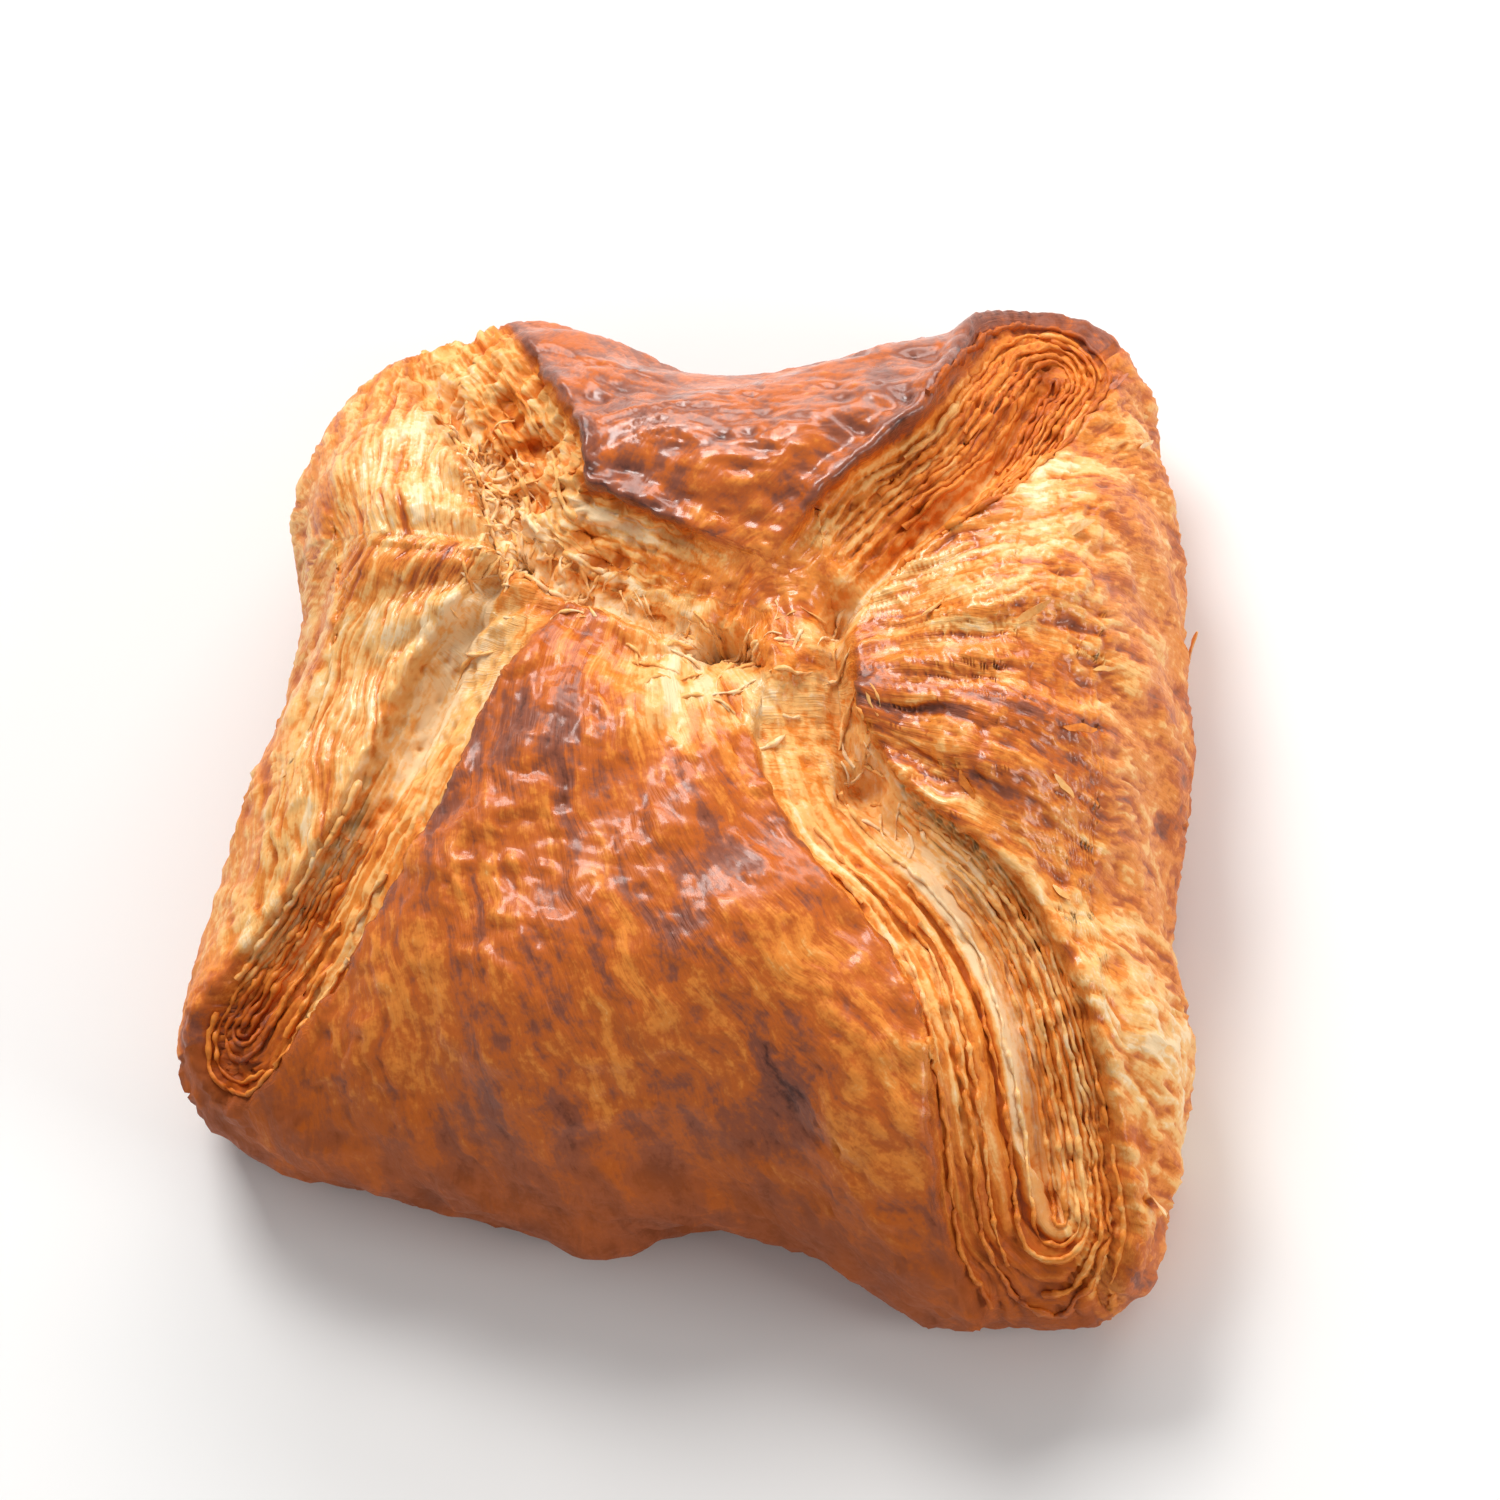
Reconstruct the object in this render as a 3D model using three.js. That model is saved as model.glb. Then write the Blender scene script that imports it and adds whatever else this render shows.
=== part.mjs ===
import * as THREE from "three";
import { mergeVertices } from "three/addons/utils/BufferGeometryUtils.js";

// A baked danish of the folded-envelope kind: a square of laminated dough whose four corners were drawn to
// the middle over the filling. It is one piece of food, so it is one solid. Four puffed flaps meet along
// seams: the back and front flaps meet in a short line across the middle, and the tips of the side flaps
// are caught at its two ends. Each seam shows the cut edge of the dough as thin layers, which run out to
// the corner, round the fold, and back. Millimetres, +Z up. X runs to the right and Y to the back, and the
// flat baked underside stands on z = 0.

// Driving dimensions.
const HEIGHT = 36; // crown of the flaps above the tray
const GIRTH_HEIGHT = 11.5; // where the sides bulge out furthest
const SHOULDER = 19; // how far in from the side a flap reaches its crown
const SHOULDER_POWER = 2.05; // 2 is a quarter ellipse, more is squarer
const FOOT_TUCK = 5.4; // how far the underside's edge lies inside the girth
const CORNER_DROOP = 0.2; // share of the height that is lost out at the corners
const CORNER_REACH = 58; // distance from the centre where that droop is complete
const MIDDLE_DIP = 5.5; // hollow where the flaps meet
const MIDDLE_DIP_RADIUS = 11;
const VALLEY_DEPTH = 5.5; // the broad valley that each seam lies in
const VALLEY_WIDTH = 8.5;
const CREASE_DEPTH = 1.9; // the sharp line in the valley, where the doubled dough closes
const CREASE_WIDTH = 1.2;
const BAND_SINK = 1.2; // the cut edge lies this far under the skin
const LIP_WIDTH = 1.3; // the skin curls up a little where it was cut
const LAYER_PITCH = 3.0; // one visible bundle of layers
const LAYER_RISE = 0.6;

// The corners, anticlockwise from the front right. crease is the line of the seam, from the middle out to
// where the dough folds back on itself. hub and lobe are the centre and radius of the round corner. bands
// are the widths of cut edge that show to the left and to the right of the crease, looking outwards, and
// lips how far the skin beside each band stands up. side is how far the next side swells out, at even
// steps along its length. One seam has a lead: its cut edge goes on across the middle, where the torn
// dough shows under the tip of the back flap.
const CORNERS = [
  {
    crease: [[5, 9.5], [11, -4.5], [25.5, -14.5], [33, -26.5], [37, -37.1]],
    hub: [35, -34.1],
    lobe: 9.8,
    bands: [3.4, 10],
    lips: [1.1, 0.5],
    side: [2.3, 0.5, 1.7, 1.9, 2],
  },
  {
    crease: [[5, 9.5], [9.6, 18.8], [15, 28], [16.7, 40]],
    hub: [13.6, 34.6],
    lobe: 13,
    bands: [8.4, 2.4],
    lips: [1.8, 0.4],
    side: [-2.4, -4.4, -5.4, -3.1, 1.2],
  },
  {
    lead: [[-3.5, 5.4], [-14, 7.5]],
    crease: [[-25, 10.5], [-30, 18.3], [-39.3, 28.2]],
    hub: [-37.5, 24],
    lobe: 11,
    bands: [1.8, 8.6],
    lips: [0.9, 1.5],
    side: [2.6, -1.7, -3, 0.4, -0.3],
  },
  {
    crease: [[-25, 10.5], [-29.8, -3], [-33, -18], [-40.3, -35.8]],
    hub: [-36, -33.7],
    lobe: 11.1,
    bands: [7, 2.2],
    lips: [0.4, 1],
    side: [-0.6, 2, -1.9, -4, 3.1],
  },
];

// Single features: x, y, z, radius and rise. A rise below 0 is a hollow.
const SPOTS = [
  [11.4, 3.2, 30, 3.4, 2.2], // browned knob at the tip of the right flap
  [5.6, 11.2, 30, 2.4, -2.6], // pinches above and below the knob
  [11.2, -5.0, 30, 2.4, -2.4],
  [-3.5, 5.2, 30, 2.6, -1.8], // the tucked-in tip of the front flap
  [-28.2, 22.2, 28, 2.6, -2.6], // open pore in the cut edge of the back left seam
  [-6.3, -42.6, 5, 4.6, 1.6], // blister low on the front side
];

// Each flap is stretched from its tip at the middle, so soft folds fan out from there. toward is the
// middle of the fan and spread half its angle, in degrees. count is the number of folds there would be in
// a full turn.
const FANS = [
  { tip: [2, 4], toward: -4, spread: 46, count: 24, rise: 0.8, reach: 38 }, // right flap
  { tip: [-3, 18], toward: -94, spread: 32, count: 18, rise: 0.55, reach: 50 }, // front flap
  { tip: [-16, 9], toward: 178, spread: 52, count: 22, rise: 0.6, reach: 28 }, // left flap
  { tip: [-6, -3], toward: 92, spread: 30, count: 18, rise: 0.4, reach: 34 }, // back flap
];
const FAN_START = 14; // the folds fade in over this distance from the tip

// Mesh density. The rows above the girth start at TOP_INSET from the outline.
const SEAM_CELLS = 25;
const WIDE_CELLS = 44; // across the back and front flaps
const TOP_INSET = 5.4;
const ROWS_ABOVE_GIRTH = 5;
const ROWS_BELOW_GIRTH = 4;

const clamp01 = (v) => Math.min(1, Math.max(0, v));
const smooth = (low, high, v) => {
  const t = clamp01((v - low) / (high - low));
  return t * t * (3 - 2 * t);
};
const bell = (distance, width) => Math.exp(-((distance / width) ** 2));

// Work out each corner's seam once: the smooth crease, its inner and outer end, and the way from the hub
// out through that end.
const seams = CORNERS.map((corner) => {
  const smoothLine = (points) => new THREE.SplineCurve(points.map(([x, y]) => new THREE.Vector2(x, y)));
  const crease = smoothLine(corner.crease).getSpacedPoints(30);
  const line = smoothLine([...(corner.lead ?? []), ...corner.crease]).getSpacedPoints(40);
  const inner = crease[0];
  const end = crease.at(-1);
  const hub = new THREE.Vector2(...corner.hub);
  const away = end.clone().sub(hub).normalize();
  const rim = hub.clone().addScaledVector(away, corner.lobe - TOP_INSET);
  return { ...corner, line, inner, hub, away, path: new THREE.SplineCurve([...crease, rim]) };
});

// Grid lines are closer together near the seams.
const gradedOnce = (t) => t * (0.5 + 0.5 * t);
const gradedTwice = (t) => t - 0.085 * Math.sin(2 * Math.PI * t);
const steps = (count, grade) => Array.from({ length: count + 1 }, (_, i) => grade(i / count));
const seamSteps = steps(SEAM_CELLS, gradedOnce);
const wideSteps = steps(WIDE_CELLS, gradedTwice);
const narrowSteps = steps(2 * SEAM_CELLS, (t) => {
  const half = gradedOnce(1 - Math.abs(2 * t - 1)) / 2;
  return t <= 0.5 ? half : 1 - half;
});

// The outline between two corners, drawn inset from the real one: half a lobe, the swelling side, and half
// the next lobe, sampled at the given fractions of its length. Both outlines that meet in a corner end in
// the same point.
function outlineBetween(from, to, inset, fractions) {
  const along = to.hub.clone().sub(from.hub);
  const out = new THREE.Vector2(along.y, -along.x).normalize();
  const onLobe = (seam, direction) =>
    seam.hub.clone().addScaledVector(direction.clone().normalize(), seam.lobe - inset);
  const swell = new THREE.SplineCurve([0, ...from.side, 0].map((rise, i) => new THREE.Vector2(i, rise)));
  const [a, b] = [onLobe(from, out), onLobe(to, out)];
  const arcCount = 20;
  const sideCount = 90;
  let points = [];
  for (let i = 0; i < arcCount; i++) points.push(onLobe(from, from.away.clone().lerp(out, i / arcCount)));
  for (let i = 0; i <= sideCount; i++) {
    const t = i / sideCount;
    points.push(a.clone().lerp(b, t).addScaledVector(out, swell.getPoint(t).y));
  }
  for (let i = arcCount - 1; i >= 0; i--) points.push(onLobe(to, to.away.clone().lerp(out, i / arcCount)));
  // Dough has no kinks where lobe and side meet.
  const fixed = arcCount / 2;
  for (let pass = 0; pass < 40; pass++) {
    points = points.map((p, i) => {
      if (i < fixed || i >= points.length - fixed) return p;
      return points[i - 1].clone().lerp(points[i + 1], 0.5);
    });
  }
  const reach = [0];
  for (let i = 1; i < points.length; i++) reach.push(reach[i - 1] + points[i].distanceTo(points[i - 1]));
  return fractions.map((fraction) => {
    if (fraction === 0) return points[0];
    if (fraction === 1) return points.at(-1);
    const wanted = fraction * reach.at(-1);
    const i = Math.max(1, reach.findIndex((r) => r >= wanted));
    return points[i - 1].clone().lerp(points[i], (wanted - reach[i - 1]) / (reach[i] - reach[i - 1]));
  });
}

// How far a point of the plan lies from a crease, whether it is to the left (1) or right (-1) of it,
// looking outwards, and how far along the crease its nearest point is, from 0 to 1.
function nearCrease(x, y, line) {
  let best = { distance: Infinity };
  for (let i = 1; i < line.length; i++) {
    const a = line[i - 1];
    const ux = line[i].x - a.x;
    const uy = line[i].y - a.y;
    const t = clamp01(((x - a.x) * ux + (y - a.y) * uy) / (ux * ux + uy * uy));
    const dx = x - a.x - t * ux;
    const dy = y - a.y - t * uy;
    const distance = Math.hypot(dx, dy);
    if (distance < best.distance) {
      const left = (ux * dy - uy * dx) / Math.hypot(ux, uy) / Math.max(distance, 1e-6);
      best = { distance, left, along: (i - 1 + t) / (line.length - 1) };
    }
  }
  return best;
}

// How far a point lies from the short line where the back and front flaps meet.
const middleLine = [seams[2].inner, seams[0].inner];
const fromMiddle = (x, y) => nearCrease(x, y, middleLine).distance;

// Height of the smooth crown over a point of the plan that lies inset in from the outline.
function crownHeight(x, y, inset) {
  const valley = Math.max(...seams.map(({ line }) => bell(nearCrease(x, y, line).distance, VALLEY_WIDTH)));
  const droop = 1 - CORNER_DROOP * smooth(20, CORNER_REACH, Math.hypot(x, y));
  const dip = MIDDLE_DIP * bell(fromMiddle(x, y), MIDDLE_DIP_RADIUS);
  const crown = HEIGHT * droop - Math.max(VALLEY_DEPTH * valley, dip);
  const rounding = (1 - (1 - clamp01(inset / SHOULDER)) ** SHOULDER_POWER) ** (1 / SHOULDER_POWER);
  return GIRTH_HEIGHT + (crown - GIRTH_HEIGHT) * rounding;
}

// Relief along the surface's normal: the seams' creases, lips and layers, the pull folds, and the single
// features.
function relief(x, y, z) {
  const high = smooth(4, 14, z);
  let rise = 0;
  for (const { line, bands, lips } of seams) {
    const { distance, left, along } = nearCrease(x, y, line);
    const onLeft = smooth(-1, 1, left);
    const width = bands[1] + (bands[0] - bands[1]) * onLeft;
    const lip = lips[1] + (lips[0] - lips[1]) * onLeft;
    const grown = smooth(-0.05, 0.3, along);
    const inBand = 1 - smooth(width - 0.9, width + 0.9, distance);
    const layers = LAYER_RISE * Math.cos((2 * Math.PI * distance) / LAYER_PITCH) * smooth(1, 2.2, distance);
    rise += grown * high * inBand * (layers - BAND_SINK);
    rise += grown * high * lip * bell(distance - width - 0.8, LIP_WIDTH);
    rise -= high * CREASE_DEPTH * bell(distance, CREASE_WIDTH);
  }
  for (const { tip, toward, spread, count, rise: fold, reach } of FANS) {
    const dx = x - tip[0];
    const dy = y - tip[1];
    const away = Math.hypot(dx, dy);
    const turn = Math.atan2(dy, dx) - (toward * Math.PI) / 180;
    const off = Math.abs(Math.atan2(Math.sin(turn), Math.cos(turn))) / ((spread * Math.PI) / 180);
    const fade = smooth(3, FAN_START, away) * (1 - smooth(FAN_START, reach, away));
    const strength = (1 - smooth(0.55, 1, off)) * fade;
    rise += fold * high * strength * Math.sin(count * turn + Math.sin(2.3 * turn) + Math.sin(0.17 * away));
  }
  for (const [sx, sy, sz, radius, height] of SPOTS) {
    rise += height * bell(Math.hypot(x - sx, y - sy, 0.6 * (z - sz)), radius);
  }
  const broad = Math.sin(0.19 * x + 0.8) * Math.sin(0.23 * y - 0.4);
  const swell = broad + 0.6 * Math.sin(0.41 * x - 0.31 * y + 0.5 * z);
  return rise + 0.55 * smooth(1, 8, z) * swell;
}

// The whole skin as triangles: a patch for each flap, the rows round the sides, and the flat underside.
function skin() {
  const triangles = [];
  const quad = (a, b, c, d) => triangles.push(a, b, c, a, c, d);
  const raised = (p, inset) => new THREE.Vector3(p.x, p.y, crownHeight(p.x, p.y, inset));
  const outlinesAt = (inset, fractionsOf) =>
    seams.map((seam, side) => outlineBetween(seam, seams[(side + 1) % 4], inset, fractionsOf(side)));
  const fractions = (side) => (side % 2 ? wideSteps : narrowSteps);
  const edge = outlinesAt(0, () => steps(200, (t) => t)).flat();
  const rims = outlinesAt(TOP_INSET, fractions);
  const seamPoints = seams.map(({ path }) => seamSteps.map((t) => path.getPointAt(t)));

  // Fills a four-sided patch from its border by Coons' rule. low and high are the sides at v = 0 and v =
  // 1, near and far those at u = 0 and u = 1. Border points are used as they are, so that neighbours share
  // them exactly.
  const patch = (low, high, near, far, us, vs) => {
    const [m, n] = [us.length - 1, vs.length - 1];
    const at = (i, j) => {
      if (j === 0) return low[i];
      if (j === n) return high[i];
      if (i === 0) return near[j];
      if (i === m) return far[j];
      const [u, v] = [us[i], vs[j]];
      return low[i].clone().multiplyScalar(1 - v).addScaledVector(high[i], v)
        .addScaledVector(near[j], 1 - u).addScaledVector(far[j], u)
        .addScaledVector(low[0], -(1 - u) * (1 - v)).addScaledVector(low[m], -u * (1 - v))
        .addScaledVector(high[0], -(1 - u) * v).addScaledVector(high[m], -u * v);
    };
    const onRim = new Set(rims.flat());
    const insetOf = (p) => (onRim.has(p) ? 0 : Math.min(...edge.map((e) => e.distanceTo(p))));
    const above = (p) => raised(p, Math.max(TOP_INSET, insetOf(p)));
    const grid = us.map((_, i) => vs.map((__, j) => above(at(i, j))));
    for (let i = 0; i < m; i++) {
      for (let j = 0; j < n; j++) quad(grid[i][j], grid[i + 1][j], grid[i + 1][j + 1], grid[i][j + 1]);
    }
  };

  rims.forEach((rim, side) => {
    const next = (side + 1) % 4;
    const from = [...seamPoints[side].slice(0, -1), rim[0]];
    const to = [...seamPoints[next].slice(0, -1), rim.at(-1)];
    if (side % 2) {
      // Back and front flaps: from seam to seam, and from the middle line to the rim.
      const inner = wideSteps.map((t) => from[0].clone().lerp(to[0], t));
      inner[0] = from[0];
      inner[WIDE_CELLS] = to[0];
      patch(from, to, inner, rim, seamSteps, wideSteps);
    } else {
      // Side flaps: a corner of the patch lies at the flap's tip, and the opposite one halfway along the
      // rim.
      const half = rim.slice(0, SEAM_CELLS + 1);
      const otherHalf = rim.slice(SEAM_CELLS).reverse();
      patch(from, otherHalf, to, half, seamSteps, seamSteps);
    }
  });

  // The rows down the sides, from the rim over the girth to the foot, and the flat underside.
  const rows = [];
  for (let k = 0; k <= ROWS_ABOVE_GIRTH; k++) {
    const inset = TOP_INSET * (1 - Math.sin((Math.PI / 2) * (k / ROWS_ABOVE_GIRTH)));
    const outline = k ? outlinesAt(inset, fractions) : rims;
    rows.push(outline.map((side) => side.map((p) => raised(p, inset))));
  }
  for (let k = 1; k <= ROWS_BELOW_GIRTH; k++) {
    const turn = (Math.PI / 2) * (k / ROWS_BELOW_GIRTH);
    const outline = outlinesAt(FOOT_TUCK * (1 - Math.cos(turn)), fractions);
    const z = k < ROWS_BELOW_GIRTH ? GIRTH_HEIGHT * (1 - Math.sin(turn)) : 0;
    rows.push(outline.map((side) => side.map((p) => new THREE.Vector3(p.x, p.y, z))));
  }
  const foot = new THREE.Vector3(0, 0, 0);
  for (let side = 0; side < 4; side++) {
    for (let i = 1; i < rims[side].length; i++) {
      for (let k = 1; k < rows.length; k++) {
        const [upper, lower] = [rows[k - 1][side], rows[k][side]];
        quad(upper[i - 1], lower[i - 1], lower[i], upper[i]);
      }
      triangles.push(rows.at(-1)[side][i], rows.at(-1)[side][i - 1], foot);
    }
  }
  return new THREE.BufferGeometry().setFromPoints(triangles);
}

// The baked pastry: the skin with its relief, set with the middle of its box over the origin.
function pastry() {
  const geometry = mergeVertices(skin(), 1e-3);
  geometry.computeVertexNormals();
  const { position, normal } = geometry.attributes;
  const p = new THREE.Vector3();
  const n = new THREE.Vector3();
  for (let i = 0; i < position.count; i++) {
    p.fromBufferAttribute(position, i);
    n.fromBufferAttribute(normal, i);
    if (p.z > 1e-3) p.addScaledVector(n, relief(p.x, p.y, p.z));
    position.setXYZ(i, p.x, p.y, Math.max(0, p.z));
  }
  geometry.computeBoundingBox();
  const { min, max } = geometry.boundingBox;
  geometry.translate(-(min.x + max.x) / 2, -(min.y + max.y) / 2, 0);
  geometry.computeVertexNormals();
  const crust = new THREE.MeshStandardMaterial({ color: 0xc8803c, roughness: 0.5, metalness: 0 });
  const mesh = new THREE.Mesh(geometry, crust);
  mesh.name = "pastry";
  return mesh;
}

const group = new THREE.Group();
group.add(pastry());

export default group;
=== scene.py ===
import math

import bpy
import numpy as np
from mathutils import Matrix, Vector
from mathutils.bvhtree import BVHTree


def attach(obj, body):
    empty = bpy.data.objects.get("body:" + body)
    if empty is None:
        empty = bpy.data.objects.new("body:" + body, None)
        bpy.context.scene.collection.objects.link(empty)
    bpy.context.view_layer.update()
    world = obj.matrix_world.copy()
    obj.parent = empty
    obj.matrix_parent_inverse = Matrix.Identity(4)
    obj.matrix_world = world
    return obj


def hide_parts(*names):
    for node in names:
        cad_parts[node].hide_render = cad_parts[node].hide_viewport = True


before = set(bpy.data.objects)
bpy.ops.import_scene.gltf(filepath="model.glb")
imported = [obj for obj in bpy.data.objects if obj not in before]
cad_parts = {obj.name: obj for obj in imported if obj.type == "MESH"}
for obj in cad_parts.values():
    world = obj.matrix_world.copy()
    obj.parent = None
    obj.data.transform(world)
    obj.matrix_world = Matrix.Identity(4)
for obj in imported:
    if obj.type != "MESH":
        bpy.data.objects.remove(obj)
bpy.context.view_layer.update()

# The table and the light: a plain pale surface under a long soft backdrop light from behind, a window to
# the left of it, a weak light from the right, and a bright even room. The camera looks steeply down at the
# folded side from the front right, with a long lens.
GLANCE = Vector((0.213, -0.307, 0.927))
SCREEN_UP = Vector((-0.195, 0.917, 0.349))
CAMERA_DISTANCE = 1.19
SHOWN_WIDTH = 0.136
AIM = Vector((0.0, 0.0, 0.016))
ROOM_LIGHT = 0.42
TABLE_REACH = 3.0
PALE = (0.82, 0.82, 0.82, 1.0)

camera_data = bpy.data.cameras.new("camera")
camera_data.sensor_width = 36.0
camera_data.lens = 36.0 * CAMERA_DISTANCE / SHOWN_WIDTH
camera_data.clip_start = 0.05
camera_data.clip_end = 20.0
camera = bpy.data.objects.new("camera", camera_data)
bpy.context.scene.collection.objects.link(camera)
glance = GLANCE.normalized()
screen_up = (SCREEN_UP - glance * SCREEN_UP.dot(glance)).normalized()
screen_right = screen_up.cross(glance)
camera.matrix_world = Matrix((
    (screen_right.x, screen_up.x, glance.x, AIM.x + glance.x * CAMERA_DISTANCE),
    (screen_right.y, screen_up.y, glance.y, AIM.y + glance.y * CAMERA_DISTANCE),
    (screen_right.z, screen_up.z, glance.z, AIM.z + glance.z * CAMERA_DISTANCE),
    (0.0, 0.0, 0.0, 1.0),
))
bpy.context.scene.camera = camera


def soft_light(name, place, width, height, watts, colour):
    data = bpy.data.lights.new(name, "AREA")
    data.shape = "RECTANGLE"
    data.size = width
    data.size_y = height
    data.energy = watts
    data.color = colour
    lamp = bpy.data.objects.new(name, data)
    lamp.location = place
    lamp.rotation_euler = (AIM - Vector(place)).to_track_quat("-Z", "Y").to_euler()
    bpy.context.scene.collection.objects.link(lamp)


soft_light("backdrop", (-0.1, 1.1, 0.62), 1.4, 0.5, 12.0, (1.0, 0.98, 0.96))
soft_light("window", (-0.45, 0.62, 0.95), 0.42, 0.42, 9.0, (1.0, 0.985, 0.96))
soft_light("side", (0.95, -0.1, 0.5), 0.4, 0.4, 3.5, (1.0, 0.97, 0.93))

room = bpy.data.worlds.new("room")
room.use_nodes = True
room.node_tree.nodes["Background"].inputs["Color"].default_value = (1.0, 1.0, 1.0, 1.0)
room.node_tree.nodes["Background"].inputs["Strength"].default_value = ROOM_LIGHT
bpy.context.scene.world = room
bpy.context.scene.view_settings.view_transform = "Standard"

table_mesh = bpy.data.meshes.new("table")
table_corners = [(x * TABLE_REACH, y * TABLE_REACH, 0.0) for x, y in ((-1, -1), (1, -1), (1, 1), (-1, 1))]
table_mesh.from_pydata(table_corners, [], [(0, 1, 2, 3)])
table = bpy.data.objects.new("table", table_mesh)
bpy.context.scene.collection.objects.link(table)
paint = bpy.data.materials.new("table_paint")
paint.use_nodes = True
paint.node_tree.nodes["Principled BSDF"].inputs["Base Color"].default_value = PALE
paint.node_tree.nodes["Principled BSDF"].inputs["Roughness"].default_value = 0.6
table_mesh.materials.append(paint)


# The pastry: a square of laminated wheat dough, folded like an envelope and baked. The outline, the crown
# and the seams are worked out in millimetres, as plan position and height. The skin is then raised and
# lowered along its normal: first the seams and folds, then the layers, wrinkles, blisters and flakes.
HEIGHT = 36.0
GIRTH_HEIGHT = 11.5
SHOULDER = 19.0
SHOULDER_POWER = 2.05
FOOT_TUCK = 5.4
CORNER_DROOP = 0.2
CORNER_REACH = 58.0
MIDDLE_DIP = 5.5
MIDDLE_DIP_RADIUS = 11.0
VALLEY_DEPTH = 5.5
VALLEY_WIDTH = 8.5
CREASE_DEPTH = 1.9
CREASE_WIDTH = 1.1
BAND_SINK = 1.2
LIP_WIDTH = 1.1
TOP_INSET = 5.4

# Each corner: its crease from the middle outwards and the lead that crosses the middle, the centre and
# radius of its lobe, the width of cut edge and the height of the lip to the left and right of the crease,
# how the next side swells, how many layers the cut edge shows, how far they have gone to open crumb, how
# brown they are and where they part, both from the middle outwards, the width of a pale strip beside the
# crease, and how far the lip and the sink fade out at the tip.
CORNERS = [
    dict(
        name="front_right",
        crease=[(5, 9.5), (11, -4.5), (25.5, -14.5), (33, -26.5), (37, -37.1)],
        lead=[],
        hub=(35, -34.1),
        lobe=9.8,
        bands=((2.4, 6.0), (6.4, 10.2)),
        lips=(1.0, 0.5),
        side=(2.3, 0.5, 1.7, 1.9, 2),
        layers=7,
        crumb=0.15,
        baked=(0.20, 0.27),
        parting=(0.05, 0.5),
        strip=2.4,
    ),
    dict(
        name="back_right",
        crease=[(5, 9.5), (9.6, 18.8), (15, 28), (16.7, 40)],
        lead=[],
        hub=(13.6, 34.6),
        lobe=13,
        bands=((8.0, 7.4), (0.8, 5.0)),
        lips=(1.8, 0.5),
        side=(-2.4, -4.4, -5.4, -3.1, 1.2),
        layers=8,
        crumb=0.1,
        baked=(0.18, 0.36),
        parting=(0.0, 0.3),
    ),
    dict(
        name="back_left",
        crease=[(-25, 10.5), (-30, 18.3), (-39.3, 28.2)],
        lead=[(-3.5, 5.4), (-14, 7.5)],
        hub=(-37.5, 24),
        lobe=11,
        bands=((1.6, 2.2), (8.6, 8.6)),
        lips=(0.9, 1.5),
        side=(2.6, -1.7, -3, 0.4, -0.3),
        layers=7,
        crumb=1.0,
        baked=(0.10, 0.18),
        parting=(0.0, 0.3),
        open_tip=0.9,
    ),
    dict(
        name="front_left",
        crease=[(-25, 10.5), (-29.8, -3), (-33, -18), (-40.3, -35.8)],
        lead=[],
        hub=(-36, -33.7),
        lobe=11.1,
        bands=((7.4, 6.4), (1.4, 2.8)),
        lips=(0.4, 1.0),
        side=(-0.6, 2, -1.9, -4, 3.1),
        layers=8,
        crumb=0.2,
        baked=(0.06, 0.30),
        parting=(0.3, 0.6),
    ),
]
SEAM_CELLS = 124
WIDE_CELLS = 152
ROWS_ABOVE_GIRTH = 18
ROWS_BELOW_GIRTH = 14
UNDERSIDE_RINGS = 5
SEAM_STEP = 0.68
SEAM_CROWDING = 0.32
WIDE_CROWDING = 0.085


def smooth(low, high, v):
    t = np.clip((v - low) / (high - low), 0.0, 1.0)
    return t * t * (3.0 - 2.0 * t)


def bell(distance, width):
    return np.exp(-((distance / width) ** 2))


def along(curve, fractions):
    reach = np.concatenate([[0.0], np.cumsum(np.linalg.norm(np.diff(curve, axis=0), axis=1))])
    wanted = np.asarray(fractions) * reach[-1]
    return np.column_stack([np.interp(wanted, reach, curve[:, k]) for k in range(curve.shape[1])])


def spline(points):
    p = np.asarray(points, float)
    t = np.linspace(0.0, len(p) - 1.0, 60 * (len(p) - 1) + 1)
    i = np.minimum(t.astype(int), len(p) - 2)
    w = (t - i)[:, None]
    before, start, stop, after = p[np.maximum(i - 1, 0)], p[i], p[i + 1], p[np.minimum(i + 2, len(p) - 1)]
    leave, arrive = (stop - before) / 2.0, (after - start) / 2.0
    cubic = (2 * start - 2 * stop + leave + arrive) * w**3
    return cubic + (3 * stop - 3 * start - 2 * leave - arrive) * w**2 + leave * w + start


def near(p, line):
    """Distance from a line in the plan, which side of it (1 left, -1 right) and how far along it."""
    best = np.full(len(p), np.inf)
    left = np.zeros(len(p))
    place = np.zeros(len(p))
    for i in range(1, len(line)):
        step = line[i] - line[i - 1]
        r = p - line[i - 1]
        t = np.clip(r @ step / (step @ step), 0.0, 1.0)
        r = r - t[:, None] * step
        distance = np.hypot(r[:, 0], r[:, 1])
        closer = distance < best
        turn = (step[0] * r[:, 1] - step[1] * r[:, 0]) / np.hypot(*step) / np.maximum(distance, 1e-6)
        best[closer] = distance[closer]
        left[closer] = turn[closer]
        place[closer] = ((i - 1 + t) / (len(line) - 1))[closer]
    return best, left, place


for corner in CORNERS:
    crease = along(spline(corner["crease"]), np.linspace(0, 1, 31))
    corner["line"] = along(spline(corner["lead"] + corner["crease"]), np.linspace(0, 1, 41))
    corner["hub"] = np.array(corner["hub"], float)
    corner["away"] = (crease[-1] - corner["hub"]) / np.linalg.norm(crease[-1] - corner["hub"])
    rim_tip = corner["hub"] + corner["away"] * (corner["lobe"] - TOP_INSET)
    corner["path"] = spline(np.vstack([crease, rim_tip]))

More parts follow.
